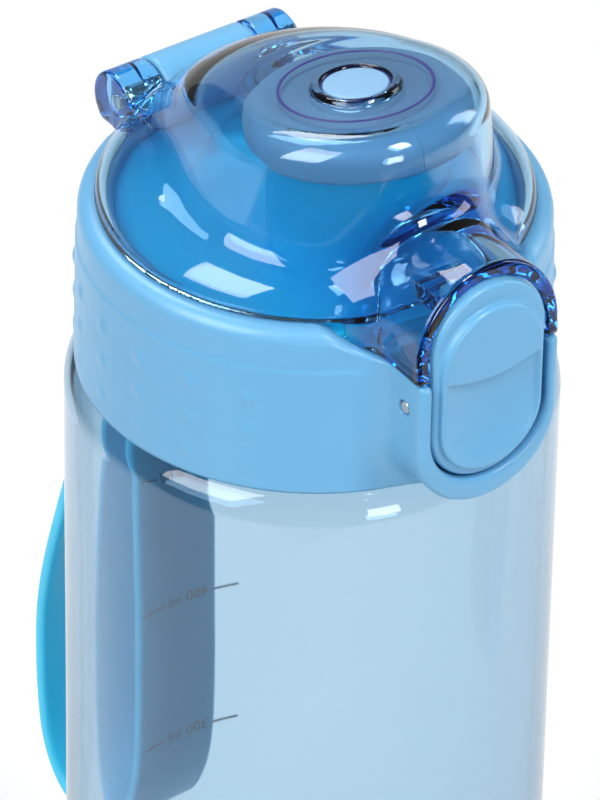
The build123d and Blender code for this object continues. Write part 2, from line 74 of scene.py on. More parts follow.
sheet = [(TABLE_NEAR, 0.0), (TABLE_FAR, 0.0)]
for step in range(1, 13):
    turn = math.radians(90 * step / 12)
    sheet.append((TABLE_FAR + SWEEP_R * math.sin(turn), SWEEP_R * (1 - math.cos(turn))))
sheet.append((TABLE_FAR + SWEEP_R, WALL_TOP))
corners, panels = [], []
for reach, rise in sheet:
    for side in (-TABLE_HALF_WIDTH, TABLE_HALF_WIDTH):
        corners.append((side * math.cos(CAMERA_AZIMUTH) - reach * math.sin(CAMERA_AZIMUTH),
                        side * math.sin(CAMERA_AZIMUTH) + reach * math.cos(CAMERA_AZIMUTH), rise))
for row in range(len(sheet) - 1):
    panels.append((2 * row, 2 * row + 1, 2 * row + 3, 2 * row + 2))
table_mesh = bpy.data.meshes.new("light_table")
table_mesh.from_pydata(corners, [], panels)
table_mesh.polygons.foreach_set("use_smooth", [True] * len(panels))
table = bpy.data.objects.new("light_table", table_mesh)
bpy.context.scene.collection.objects.link(table)
acrylic = bpy.data.materials.new("white_acrylic_sheet")
acrylic.use_nodes = True
acrylic_shader = acrylic.node_tree.nodes["Principled BSDF"]
acrylic_shader.inputs["Base Color"].default_value = (*TABLE_WHITE, 1)
acrylic_shader.inputs["Roughness"].default_value = 0.9
acrylic_shader.inputs["Emission Color"].default_value = (1, 1, 1, 1)
acrylic_shader.inputs["Emission Strength"].default_value = TABLE_GLOW
table_mesh.materials.append(acrylic)

surround = bpy.data.worlds.new("white_surround")
surround.use_nodes = True
surround.node_tree.nodes["Background"].inputs["Color"].default_value = (1.0, 1.0, 1.0, 1)
surround.node_tree.nodes["Background"].inputs["Strength"].default_value = 0.16
bpy.context.scene.world = surround
bpy.context.scene.view_settings.view_transform = "Standard"


def soft_lamp(name, place, aim, size, power):
    """A rectangular softbox that faces the point it is aimed at."""
    lamp = bpy.data.lights.new(name, "AREA")
    lamp.shape = "RECTANGLE"
    lamp.size, lamp.size_y = size
    lamp.energy = power
    holder = bpy.data.objects.new(name, lamp)
    holder.location = place
    holder.rotation_euler = (Vector(aim) - Vector(place)).to_track_quat("-Z", "Y").to_euler()
    bpy.context.scene.collection.objects.link(holder)


CAP = (0.0, 0.0, RIM * MM)            # the lamps all face the cap
soft_lamp("softbox_left", (-1.00, -0.06, 1.00), CAP, (0.75, 0.80), 14.0)
soft_lamp("softbox_front", (0.13, -0.78, 1.20), CAP, (0.26, 0.50), 9.0)
soft_lamp("softbox_behind", (0.06, 0.80, 1.25), CAP, (0.60, 0.50), 8.0)
soft_lamp("softbox_right", (1.15, -0.15, 0.60), CAP, (0.35, 0.90), 4.0)
soft_lamp("softbox_low", (-0.10, -1.25, 0.30), CAP, (0.30, 0.50), 5.0)

CAMERA_HEIGHT_ANGLE = math.radians(36.83)
CAMERA_ROLL = math.radians(0.997)
CAMERA_PLACE = (-0.50535, -0.70809, 0.61402 + RIM * MM)
LENS = 332.2

across = Vector((math.cos(CAMERA_AZIMUTH), math.sin(CAMERA_AZIMUTH), 0))
away = Vector((math.sin(CAMERA_AZIMUTH), -math.cos(CAMERA_AZIMUTH), 0))
back = away * math.cos(CAMERA_HEIGHT_ANGLE) + Vector((0, 0, 1)) * math.sin(CAMERA_HEIGHT_ANGLE)
up = back.cross(across)
right = across * math.cos(CAMERA_ROLL) + up * math.sin(CAMERA_ROLL)
top = up * math.cos(CAMERA_ROLL) - across * math.sin(CAMERA_ROLL)
camera_turn = Matrix((right, top, back)).transposed()
lens = bpy.data.cameras.new("view_of_cap")
lens.lens = LENS
lens.sensor_width = 36.0
camera = bpy.data.objects.new("view_of_cap", lens)
camera.matrix_world = Matrix.Translation(CAMERA_PLACE) @ camera_turn.to_4x4()
bpy.context.scene.collection.objects.link(camera)
bpy.context.scene.camera = camera


# The bottle: one blow-moulded shell of clear copolyester with a pale blue tint, a screw neck, a
# rounded shoulder and a grooved base. The wall is about 2 mm thick, and its edges gather the tint.
BODY_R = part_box("bottle_body")[1].x / MM
BODY_WALL = 2.1
NECK_R = 28.0
NECK_WALL = 2.2
NECK_TOP = RIM - 5.6
NECK_BASE = RIM - 27.2
SHOULDER = RIM - 33.0
SHOULDER_TOP_R = 29.5
PAD_R, FOOT_R, FOOT_OUT = 19.6, 27.3, 29.6    # flat pad in the middle, then the foot ring
GROOVE = 1.2                      # depth of the groove between them
BASE_T = 3.6
CORNER_W, CORNER_H = 6.3, 7.0
INNER_CORNER = 8.0
WALL_ROWS = (50, 100, 150)        # extra rows that keep the straight wall's shading even
THREAD_PITCH = 4.0
THREAD_TURNS = 1.6
THREAD_DEEP = 1.5
THREAD_ROOT, THREAD_CREST = 0.85, 0.45      # half the ridge's width at its root and at its crest
THREAD_SUNK = 0.3                 # how far the ridge reaches into the wall
BOTTLE_TINT = (0.0, 0.44, 0.69)
BOTTLE_DEPTH = 195.0              # how strongly the tint builds up, per metre of plastic


def arc(centre, reach, start, end, steps=12):
    """Points on an ellipse about centre, from one angle to the other in degrees."""
    turns = [math.radians(start + (end - start) * i / steps) for i in range(steps + 1)]
    return [(centre[0] + reach[0] * math.cos(t), centre[1] + reach[1] * math.sin(t)) for t in turns]


def piece(name, points, faces, finish, smooth=True):
    """A mesh piece from points in millimetres."""
    mesh = bpy.data.meshes.new(name)
    corners = [tuple(MM * v for v in p) for p in points]
    mesh.from_pydata(corners, [], [tuple(int(i) for i in f) for f in faces])
    mesh.polygons.foreach_set("use_smooth", [smooth] * len(mesh.polygons))
    mesh.materials.append(finish)
    mesh.update()
    made = bpy.data.objects.new(name, mesh)
    bpy.context.scene.collection.objects.link(made)
    return made


def turned(name, outline, finish, segments=256):
    """A piece turned about the Z axis from a closed outline of (radius, height)."""
    points, rows = [], []
    for radius, height in outline:
        if radius < 1e-6:
            rows.append([len(points)] * segments)
            points.append((0.0, 0.0, height))
            continue
        rows.append(range(len(points), len(points) + segments))
        angles = [2 * math.pi * i / segments for i in range(segments)]
        points += [(radius * math.cos(a), radius * math.sin(a), height) for a in angles]
    faces = []
    for low, high in zip(rows, list(rows[1:]) + [rows[0]]):
        for i in range(segments):
            j = (i + 1) % segments
            corners = list(dict.fromkeys((low[i], low[j], high[j], high[i])))
            if len(corners) > 2:
                faces.append(corners)
    return piece(name, points, faces, finish)


def texture(nodes, links, scale, detail=3.0):
    """Noise in the piece's own place, scale in features per metre."""
    place = nodes.new("ShaderNodeTexCoord")
    noise = nodes.new("ShaderNodeTexNoise")
    noise.inputs["Scale"].default_value = scale
    noise.inputs["Detail"].default_value = detail
    links.new(place.outputs["Object"], noise.inputs["Vector"])
    return noise.outputs["Fac"]


def between(nodes, links, fac, low, high):
    """Noise stretched to run from low to high."""
    spread = nodes.new("ShaderNodeMapRange")
    spread.inputs["From Min"].default_value = 0.3
    spread.inputs["From Max"].default_value = 0.7
    spread.inputs["To Min"].default_value = low
    spread.inputs["To Max"].default_value = high
    links.new(fac, spread.inputs["Value"])
    return spread.outputs["Result"]


def ripple(nodes, links, shader, scale, depth):
    """A faint unevenness of the surface, depth in metres."""
    bump = nodes.new("ShaderNodeBump")
    bump.inputs["Distance"].default_value = depth
    bump.inputs["Strength"].default_value = 1.0
    links.new(texture(nodes, links, scale, 1.0), bump.inputs["Height"])
    links.new(bump.outputs["Normal"], shader.inputs["Normal"])


def clear_plastic(name, tint, depth, haze=(0.01, 0.04)):
    """Clear plastic, coloured by how far light runs inside it, with a faint haze from handling."""
    finish = bpy.data.materials.new(name)
    finish.use_nodes = True
    nodes, links = finish.node_tree.nodes, finish.node_tree.links
    shader = nodes["Principled BSDF"]
    shader.inputs["Base Color"].default_value = (1, 1, 1, 1)
    shader.inputs["Transmission Weight"].default_value = 1.0
    shader.inputs["IOR"].default_value = 1.5
    links.new(between(nodes, links, texture(nodes, links, 180), *haze), shader.inputs["Roughness"])
    ripple(nodes, links, shader, 60, 0.00001)
    soak = nodes.new("ShaderNodeVolumeAbsorption")
    soak.inputs["Color"].default_value = (*tint, 1)
    soak.inputs["Density"].default_value = depth
    links.new(soak.outputs["Volume"], nodes["Material Output"].inputs["Volume"])
    return finish


bottle_plastic = clear_plastic("clear_bottle_plastic", BOTTLE_TINT, BOTTLE_DEPTH)
bore = BODY_R - BODY_WALL
neck_bore = NECK_R - NECK_WALL
outline = [(0, 0), (12, 0), (PAD_R, 0), (PAD_R + 0.6, 0.2), (PAD_R + 1.8, GROOVE)]
outline += [(FOOT_R - 1.7, GROOVE), (FOOT_R - 0.5, 0.2), (FOOT_R, 0), (FOOT_OUT, 0)]
outline += arc((BODY_R - CORNER_W, CORNER_H), (CORNER_W, CORNER_H), -85, 0)
outline += [(BODY_R, row) for row in WALL_ROWS]
outline += arc((SHOULDER_TOP_R, SHOULDER), (BODY_R - SHOULDER_TOP_R, NECK_BASE - SHOULDER), 0, 90, 20)
outline += [(NECK_R + 0.4, NECK_BASE), (NECK_R, NECK_BASE + 0.4), (NECK_R, NECK_TOP - 0.5)]
outline += [(NECK_R - 0.5, NECK_TOP), (neck_bore + 0.5, NECK_TOP), (neck_bore, NECK_TOP - 0.5)]
outline += [(neck_bore, NECK_BASE - 1.4)]
outline += arc((neck_bore + 1.6, SHOULDER - 1.0), (bore - neck_bore - 1.6, 4.6), 90, 0, 16)
outline += [(bore, row) for row in WALL_ROWS[::-1]]
outline += arc((bore - INNER_CORNER, BASE_T + INNER_CORNER), (INNER_CORNER, INNER_CORNER), 0, -90)
outline += [(12, BASE_T), (0, BASE_T)]
bottle = turned("bottle_shell", outline, bottle_plastic)


def helical_ridge(name, base_r, crest_r, start, finish, steps=160):
    """A screw ridge with a trapezoid section."""
    outward = 1 if crest_r > base_r else -1
    sunk = base_r - THREAD_SUNK * outward
    section = [(sunk, -THREAD_ROOT), (base_r, -THREAD_ROOT), (crest_r, -THREAD_CREST),
               (crest_r, THREAD_CREST), (base_r, THREAD_ROOT), (sunk, THREAD_ROOT)]
    count = len(section)
    points, faces = [], []
    for i in range(steps + 1):
        share = i / steps
        fade = min(1.0, 12 * share, 12 * (1 - share))
        angle = 2 * math.pi * THREAD_TURNS * share
        for radius, rise in section:
            depth = base_r + (radius - base_r) * max(fade, 0.05)
            height = start + THREAD_PITCH * THREAD_TURNS * share + rise
            points.append((depth * math.cos(angle), depth * math.sin(angle), height))
    for i in range(steps):
        for k in range(count):
            n = (k + 1) % count
            faces.append((i * count + n, i * count + k, (i + 1) * count + k, (i + 1) * count + n))
    faces.append(tuple(range(count)))
    faces.append(tuple(range(steps * count, (steps + 1) * count))[::-1])
    return piece(name, points, faces, finish, smooth=False)


thread_start = NECK_BASE + 5.5
neck_thread = helical_ridge("neck_thread", NECK_R, NECK_R + THREAD_DEEP, thread_start, bottle_plastic)
for part in (bottle, neck_thread):
    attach(part, "bottle")
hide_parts("bottle_body")

# The volume marks: grey ink printed on the outside of the back wall, one line for every 100 ml
# with its figure beside it. The ink is only a few hundredths of a millimetre thick.
MARK_STEP = 27.1
MARK_400 = RIM - 97.5
MARK_FROM, MARK_TO = -11.6, 17.4    # degrees round from the back
MARK_W = 0.45
MARK_LENGTH = 4.5
FIGURE_H = 2.9
INK_PROUD = 0.05
INK_DARK = (0.035, 0.10, 0.17)
INK_LIGHT = (0.07, 0.17, 0.26)


def clouded(nodes, links, dark, light, scale, detail=3.0):
    """Two close colours mixed in soft clouds."""
    mix = nodes.new("ShaderNodeMix")
    mix.data_type = "RGBA"
    mix.inputs[6].default_value = (*dark, 1)
    mix.inputs[7].default_value = (*light, 1)
    links.new(texture(nodes, links, scale, detail), mix.inputs[0])
    return mix.outputs[2]


ink = bpy.data.materials.new("mark_ink")
ink.use_nodes = True
ink_shader = ink.node_tree.nodes["Principled BSDF"]
ink_nodes, ink_links = ink.node_tree.nodes, ink.node_tree.links
ink_links.new(clouded(ink_nodes, ink_links, INK_DARK, INK_LIGHT, 900), ink_shader.inputs["Base Color"])
ink_shader.inputs["Roughness"].default_value = 0.6


def wrapped(flat_points):
    """Points laid round the back wall from (distance round it, height)."""
    radius = BODY_R + INK_PROUD
    return [(radius * math.sin(s / BODY_R), radius * math.cos(s / BODY_R), z) for s, z in flat_points]


def arc_length(degrees):
    """Distance round the wall."""
    return math.radians(degrees) * BODY_R


def mark_line(name, height, start, end):
    """A printed bar that follows the wall."""
    steps = 24
    flat = []
    for edge in (-MARK_W / 2, MARK_W / 2):
        flat += [(start + (end - start) * i / steps, height + edge) for i in range(steps + 1)]
    faces = [(i + 1, i, steps + 1 + i, steps + 2 + i) for i in range(steps)]
    return piece(name, wrapped(flat), faces, ink)


def mark_figure(name, words, middle, height, size):
    """A printed figure that follows the wall."""
    text = bpy.data.curves.new(name, "FONT")
    text.body = words
    text.size = size
    text.align_x = "CENTER"
    text.align_y = "CENTER"
    text.resolution_u = 3
    letters = bpy.data.objects.new(name + "_letters", text)
    bpy.context.scene.collection.objects.link(letters)
    bpy.context.view_layer.update()
    depsgraph = bpy.context.evaluated_depsgraph_get()
    flat = bpy.data.meshes.new_from_object(letters.evaluated_get(depsgraph))
    points = wrapped([(middle - v.co.x, height + v.co.y) for v in flat.vertices])
    faces = [tuple(p.vertices) for p in flat.polygons]
    bpy.data.objects.remove(letters)
    return piece(name, points, faces, ink, smooth=False)


for volume in range(100, 700, 100):
    height = MARK_400 + MARK_STEP * (volume - 400) / 100
    start, end = arc_length(MARK_FROM), arc_length(MARK_TO)
    left_line = mark_line(f"mark_{volume}_left", height, start, start + MARK_LENGTH)
    right_line = mark_line(f"mark_{volume}_right", height, end - MARK_LENGTH, end)
    middle = (start + end) / 2
    figure = mark_figure(f"mark_{volume}_figure", f"{volume} ml", middle, height, FIGURE_H)
    for part in (left_line, right_line, figure):
        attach(part, "bottle")

# The carry loop: teal silicone moulded in one piece, a ring that sits on the shoulder under the
# cap and a 16 mm strap folded into a hanging loop. It bends where it comes out from under the cap.
STRAP_HALF = 8.0
STRAP_HALF_T = 1.15
STRAP_EDGE = 0.9
RING_LOW = NECK_BASE + 0.15
RING_H = 2.4
RING_IN, RING_OUT = NECK_R + 0.4, 31.0
TEAL_DARK = (0.036, 0.540, 0.820)
TEAL_LIGHT = (0.050, 0.620, 0.900)
TAB_HALF_T = 1.0
strap_root = [v / MM for v in joints["strap_swing"]["pos_m"]]
FINE = 0.42       # millimetres between mesh points on moulded pieces


def meet(a, b, radius=0.0):
    """Where both forms are solid, with their shared edge rounded."""
    if np.all(np.asarray(radius) == 0):
        return np.maximum(a, b)
    inner = np.minimum(-radius, np.maximum(a, b))
    return inner + np.hypot(np.maximum(a + radius, 0), np.maximum(b + radius, 0))


def join(a, b, fillet=0.0):
    """Where either form is solid, with a fillet in the corner between them."""
    if fillet == 0:
        return np.minimum(a, b)
    gap = np.maximum(fillet - np.abs(a - b), 0) / fillet
    return np.minimum(a, b) - gap * gap * fillet / 4


def cut(a, b, radius=0.0):
    """The first form with the second taken away."""
    return meet(a, -b, radius)


def smooth_step(value, start, end):
    """Runs from 0 at start to 1 at end."""
    share = np.clip((value - start) / (end - start), 0, 1)
    return share * share * (3 - 2 * share)


def moulded(name, low, high, form, finish, grain=FINE):
    """A closed mesh piece of the space where form(x, y, z) is negative, all in millimetres."""
    axes = [np.arange(a, b + grain, grain, dtype=np.float32) for a, b in zip(low, high)]
    x, y, z = np.meshgrid(*axes, indexing="ij", sparse=True)
    field = np.broadcast_to(form(x, y, z), [len(a) for a in axes])
    grid = openvdb.FloatGrid(3 * grain)
    grid.copyFromArray(np.clip(field, -3 * grain, 3 * grain).astype(np.float32))
    found, quads = grid.convertToQuads(0.0)
    points = np.array(low) + found.astype(float) * grain
    step = 0.02
    for _ in range(3):
        here = form(*points.T)
        slope = np.stack([(form(*(points + push).T) - form(*(points - push).T)) / (2 * step)
                          for push in np.eye(3) * step], axis=1)
        size = np.maximum((slope ** 2).sum(1), 0.25)
        move = -(here / size)[:, None] * slope
        length = np.linalg.norm(move, axis=1, keepdims=True)
        points += move * np.minimum(1, 0.4 * grain / np.maximum(length, 1e-9))
    return piece(name, points, quads, finish)


def smooth_route(points, per_span=10):
    """A smooth curve through a few points."""
    before = 2 * np.array(points[0]) - points[1]
    after = 2 * np.array(points[-1]) - points[-2]
    padded = np.array([before, *points, after])
    route = []
    for i in range(1, len(padded) - 2):
        a, b, c, d = padded[i - 1:i + 3]
        for t in np.arange(per_span) / per_span:
            route.append(0.5 * (2 * b + (c - a) * t + (2 * a - 5 * b + 4 * c - d) * t * t
                                + (3 * b - a - 3 * c + d) * t ** 3))
    return np.array([*route, padded[-2]])


def from_route(y, z, route):
    """Distance in the Y-Z plane from a curve given by its points."""
    shape = np.broadcast(y, z).shape
    nearest = np.full(shape, np.inf)
    for (ya, za), (yb, zb) in zip(route[:-1], route[1:]):
        dy, dz = yb - ya, zb - za
        share = np.clip(((y - ya) * dy + (z - za) * dz) / (dy * dy + dz * dz), 0, 1)
        nearest = np.minimum(nearest, np.hypot(y - ya - share * dy, z - za - share * dz))
    return nearest


wall_side = BODY_R + 0.4 + STRAP_HALF_T
loop_route = smooth_route([
    (strap_root[1], strap_root[2]), (wall_side + 0.1, RIM - 40), (wall_side, RIM - 76),
    (wall_side, RIM - 110), (wall_side + 0.1, RIM - 121), (wall_side + 0.7, RIM - 129),
    (40.7, RIM - 136.5), (44.6, RIM - 143.4), (50.8, RIM - 147.5), (57.0, RIM - 145.6),
    (60.8, RIM - 139.8), (62.3, RIM - 131), (62.6, RIM - 120), (61.8, RIM - 111),
    (59.5, RIM - 101), (56.3, RIM - 90.5), (52.0, RIM - 77), (46.8, RIM - 60),
    (42.2, RIM - 44.5), (strap_root[1] + 0.6, RIM - 33), (strap_root[1], strap_root[2])])
tab_route = smooth_route([(RING_OUT - 1.5, RING_LOW + 1.2), (33.6, RIM - 26.1), (36.4, RIM - 27.6),
                          (strap_root[1], strap_root[2])])


def strap_form(x, y, z):
    band = meet(from_route(y, z, loop_route) - STRAP_HALF_T, np.abs(x) - STRAP_HALF, STRAP_EDGE)
    tab = meet(from_route(y, z, tab_route) - TAB_HALF_T, np.abs(x) - STRAP_HALF, 0.8)
    radius = np.hypot(x, y)
    ring = meet(np.abs(radius - (RING_IN + RING_OUT) / 2) - (RING_OUT - RING_IN) / 2,
                np.abs(z - RING_LOW - RING_H / 2) - RING_H / 2, 0.5)
    return join(join(band, tab, 1.0), ring, 0.8)


def soft_silicone(name, dark, light, roughness=(0.38, 0.5)):
    """Soft silicone rubber: satin, with faint clouding and a fine moulded texture."""
    finish = bpy.data.materials.new(name)
    finish.use_nodes = True
    nodes, links = finish.node_tree.nodes, finish.node_tree.links
    shader = nodes["Principled BSDF"]
    links.new(clouded(nodes, links, dark, light, 70, 4.0), shader.inputs["Base Color"])
    links.new(between(nodes, links, texture(nodes, links, 400), *roughness), shader.inputs["Roughness"])
    shader.inputs["Subsurface Weight"].default_value = 0.15
    shader.inputs["Subsurface Radius"].default_value = (0.4, 0.8, 1.0)
    shader.inputs["Subsurface Scale"].default_value = 0.0015
    ripple(nodes, links, shader, 2500, 0.000003)
    return finish


teal = soft_silicone("teal_strap_silicone", TEAL_DARK, TEAL_LIGHT)
strap = moulded("carry_strap", (-32, -32, RIM - 150.5), (32, 65, RIM - 24), strap_form, teal,
                grain=0.55)
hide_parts("strap_ring", "strap_loop")
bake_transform(strap)

# The neck gasket: a flat white silicone washer that the cap presses on the lip of the neck.
# It is punched from sheet, so its faces are plain.
GASKET_DARK = (0.74, 0.78, 0.80)
GASKET_LIGHT = (0.80, 0.84, 0.86)


def coat(node, finish):
    """Gives a piece kept from the CAD its finish."""
    materials = frame["nodes"][node].data.materials
    materials.clear()
    materials.append(finish)


coat("neck_gasket", soft_silicone("gasket_silicone", GASKET_DARK, GASKET_LIGHT))

# The inner cap: an injection-moulded azure plastic cup with the screw thread inside, a flat deck
# and the drinking spout. The collar's top flange holds it down. It shows through the lid.
AZURE_DARK = (0.014, 0.520, 0.880)
AZURE_LIGHT = (0.020, 0.580, 0.940)


def satin_plastic(name, dark, light, roughness=(0.28, 0.40), glow=0.12):
    """Opaque moulded plastic: slightly clouded colour, satin face with a very fine grain."""
    finish = bpy.data.materials.new(name)
    finish.use_nodes = True
    nodes, links = finish.node_tree.nodes, finish.node_tree.links
    shader = nodes["Principled BSDF"]
    links.new(clouded(nodes, links, dark, light, 45, 5.0), shader.inputs["Base Color"])
    links.new(between(nodes, links, texture(nodes, links, 260), *roughness), shader.inputs["Roughness"])
    shader.inputs["Subsurface Weight"].default_value = glow
    shader.inputs["Subsurface Radius"].default_value = (0.5, 0.8, 1.0)
    shader.inputs["Subsurface Scale"].default_value = 0.001
    ripple(nodes, links, shader, 3500, 0.000006)
    return finish


coat("inner_cap", satin_plastic("azure_inner_cap_plastic", AZURE_DARK, AZURE_LIGHT))

# The collar: the opaque light blue outer cap, moulded with rows of small grip dots, the housing
# for the button at the front and the hinge knuckle at the back. It snaps over the inner cap.
SKY_DARK = (0.120, 0.370, 0.625)
SKY_LIGHT = (0.150, 0.425, 0.690)
COLLAR_BOTTOM = -28.2                # heights from the lid's rim
COLLAR_BOTTOM_R, COLLAR_R = 35.0, 34.6
BAND_LINE = -6.8                     # where the smooth top band starts
BOSS_HALF = 12.0
BOSS_FRONT = 43.6                    # in front of the bottle's axis
BOSS_LOW = -15.6                     # centre of its round lower end
POCKET_HALF = 10.1
BUTTON_LOW = -13.6
SLEEVE = 0.3                         # gap between lid and collar
DOT_ROWS = (-12.1, -18.2, -24.2)
DOT_FIRST, DOT_STEP, DOT_COLUMNS = 51.0, 15.0, 8     # degrees round from the button
DOT_HALF_W, DOT_HALF_H, DOT_PROUD = 1.25, 1.45, 0.55
COLLAR_BORE, FLANGE_R, FLANGE_LOW = 32.0, 29.2, -2.1
KNUCKLE_HALF = 8.3
BARREL_R = 5.2
EAR_ROOM_MIDDLE, EAR_ROOM_HALF = 12.0, 3.7
HINGE_Y, HINGE_H = lid_hinge[1], lid_hinge[2] - RIM
pivot = [v / MM for v in joints["button_press"]["pos_m"]]


def rim_height(x, y):
    """Height of the lid's lower edge: it dips to either side of the button."""
    side = 1 - smooth_step(np.abs(x), 12.2, 18.5)
    return -3.8 * side * (1 - smooth_step(y, -24.0, -12.0))


def boss_outline(x, h, half, low):
    """Distance from an upright slot shape with a round lower end."""
    return np.where(h < low, np.hypot(x, h - low), np.abs(x)) - half


def collar_form(x, y, z):
    """The whole collar: skirt, button housing and knuckle, with its bores and dots."""
    h = z - RIM
    radius = np.hypot(x, y)
    share = (h - COLLAR_BOTTOM) / -COLLAR_BOTTOM
    band = 0.22 * smooth_step(h, BAND_LINE + 0.25, BAND_LINE - 0.25)
    skin = radius - (COLLAR_BOTTOM_R + (COLLAR_R - COLLAR_BOTTOM_R) * share - 0.2 + band)
    slot = boss_outline(x, h, BOSS_HALF, BOSS_LOW)
    boss = meet(meet(slot, -BOSS_FRONT - y, 1.3), y + 25)
    outer = join(skin, boss, 4.5)
    near_boss = smooth_step(-y, 26.0, 34.0) * (1 - smooth_step(np.abs(x), 13.0, 18.0))
    ceiling = h - (rim_height(x, y) - SLEEVE)
    body = meet(outer, ceiling, 2.4 - 1.7 * near_boss)
    body = meet(body, COLLAR_BOTTOM - 0.05 - h, 0.5)
    bore_r = COLLAR_BORE + 2.1 * np.clip((COLLAR_BOTTOM + 2.6 - h) / 2.6, 0, 1)
    body = cut(body, np.where(h < FLANGE_LOW, radius - bore_r, radius - FLANGE_R), 0.3)
    web = meet(meet(np.abs(x) - KNUCKLE_HALF, np.abs(y - HINGE_Y - 0.3) - 3.8, 0.3),
               np.abs(h - 1.2) - 2.8, 0.3)
    barrel = meet(np.hypot(y - HINGE_Y, h - HINGE_H) - BARREL_R, np.abs(x) - KNUCKLE_HALF, 0.5)
    body = join(body, join(barrel, web, 1.0), 0.8)
    pocket = cut(boss_outline(x, h, POCKET_HALF, BUTTON_LOW), radius - 34.0)
    body = cut(body, meet(pocket, y + 20), 0.7)
    ear_room = meet(np.hypot(y - HINGE_Y, h - HINGE_H) - BARREL_R - 0.4,
                    np.abs(np.abs(x) - EAR_ROOM_MIDDLE) - EAR_ROOM_HALF)
    body = cut(body, ear_room, 0.2)
    notch = meet(meet(np.abs(x) - STRAP_HALF - 0.6, 20 - y), h - COLLAR_BOTTOM - 4.2)
    body = cut(body, notch, 0.4)
    pin_hole = np.hypot(y - pivot[1], z - pivot[2]) - 1.2
    body = cut(body, pin_hole, 0.1)
    spring_room = meet(np.hypot(y - HINGE_Y, h - HINGE_H) - 3.5, np.abs(x) - 6.0)
    body = cut(body, spring_room)
    body = cut(body, np.hypot(y - HINGE_Y, h - HINGE_H) - 1.3)
    around = np.degrees(np.arctan2(np.abs(x), -y))
    column = np.clip(np.round((around - DOT_FIRST) / DOT_STEP), 0, DOT_COLUMNS - 1)
    off_side = np.radians(around - DOT_FIRST - column * DOT_STEP) * COLLAR_R
    across_dot, off_skin = off_side / DOT_HALF_W, (radius - COLLAR_R - 0.02) / DOT_PROUD
    dots = np.inf
    for row in DOT_ROWS:
        bump = np.sqrt(across_dot ** 2 + ((h - row) / DOT_HALF_H) ** 2 + off_skin ** 2)
        dots = np.minimum(dots, (bump - 1) * DOT_PROUD)
    return join(body, dots, 0.25)


sky = satin_plastic("light_blue_cap_plastic", SKY_DARK, SKY_LIGHT)
collar = moulded("cap_collar_shell", (-36.5, -45, RIM - 29.5), (36.5, 36.8, RIM + 10.5),
                 collar_form, sky)
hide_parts("cap_collar")
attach(collar, "cap")

# The two pins and the two springs: drawn stainless wire. The lid's pin is pressed in from one
# side, and the button's pin ends just inside its housing.
HINGE_PIN_R, HINGE_PIN_HALF = 1.2, 13.2
LATCH_PIN_R, LATCH_PIN_HALF = 1.1, BOSS_HALF - 0.3
PIN_CHAMFER = 0.25


def bright_steel(name):
    finish = bpy.data.materials.new(name)
    finish.use_nodes = True
    nodes, links = finish.node_tree.nodes, finish.node_tree.links
    shader = nodes["Principled BSDF"]
    shader.inputs["Base Color"].default_value = (0.56, 0.55, 0.53, 1)
    shader.inputs["Metallic"].default_value = 1.0
    links.new(between(nodes, links, texture(nodes, links, 1500), 0.22, 0.42), shader.inputs["Roughness"])
    ripple(nodes, links, shader, 4000, 0.000004)
    return finish


def steel_pin(name, radius, half, y, z, finish):
    """A straight pin along X with chamfered ends."""
    face_r, side = radius - PIN_CHAMFER, half - PIN_CHAMFER
    outline = [(0, -half), (face_r, -half), (radius, -side), (radius, side), (face_r, half), (0, half)]
    pin = turned(name, outline, finish, segments=48)
    laid_across = Matrix.Rotation(math.pi / 2, 4, "Y")
    pin.data.transform(Matrix.Translation((0, y * MM, z * MM)) @ laid_across)
    pin.data.polygons.foreach_set("use_smooth", [False] * len(pin.data.polygons))
    return pin


steel = bright_steel("stainless_wire")
hinge_rod = steel_pin("hinge_rod", HINGE_PIN_R, HINGE_PIN_HALF, HINGE_Y, lid_hinge[2], steel)
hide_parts("hinge_pin")
latch_rod = steel_pin("latch_rod", LATCH_PIN_R, LATCH_PIN_HALF, pivot[1], pivot[2], steel)
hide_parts("latch_pin")
for part in (hinge_rod, latch_rod):
    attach(part, "cap")
for spring in ("latch_spring", "hinge_spring"):
    coat(spring, steel)

# The push button: moulded in the collar's plastic as a plate with a raised face. The round thumb pad
# above ends in a curved ledge, with a dished hollow for the thumb below it. It rocks on the latch pin.
BUTTON_HALF = 9.7
BUTTON_HIGH = -0.5
PLATE_FRONT, PLATE_BACK = -43.0, -40.6
FACE = -44.2                         # front of the thumb pad
PAD_HALF, PAD_HIGH = 8.75, -2.7
LEDGE = -5.9
LEDGE_CURVE = 0.024                  # the ledge's ends stand higher than its middle
DISH_DEEP, DISH_MIDDLE, DISH_R = 1.9, -9.5, 31.0


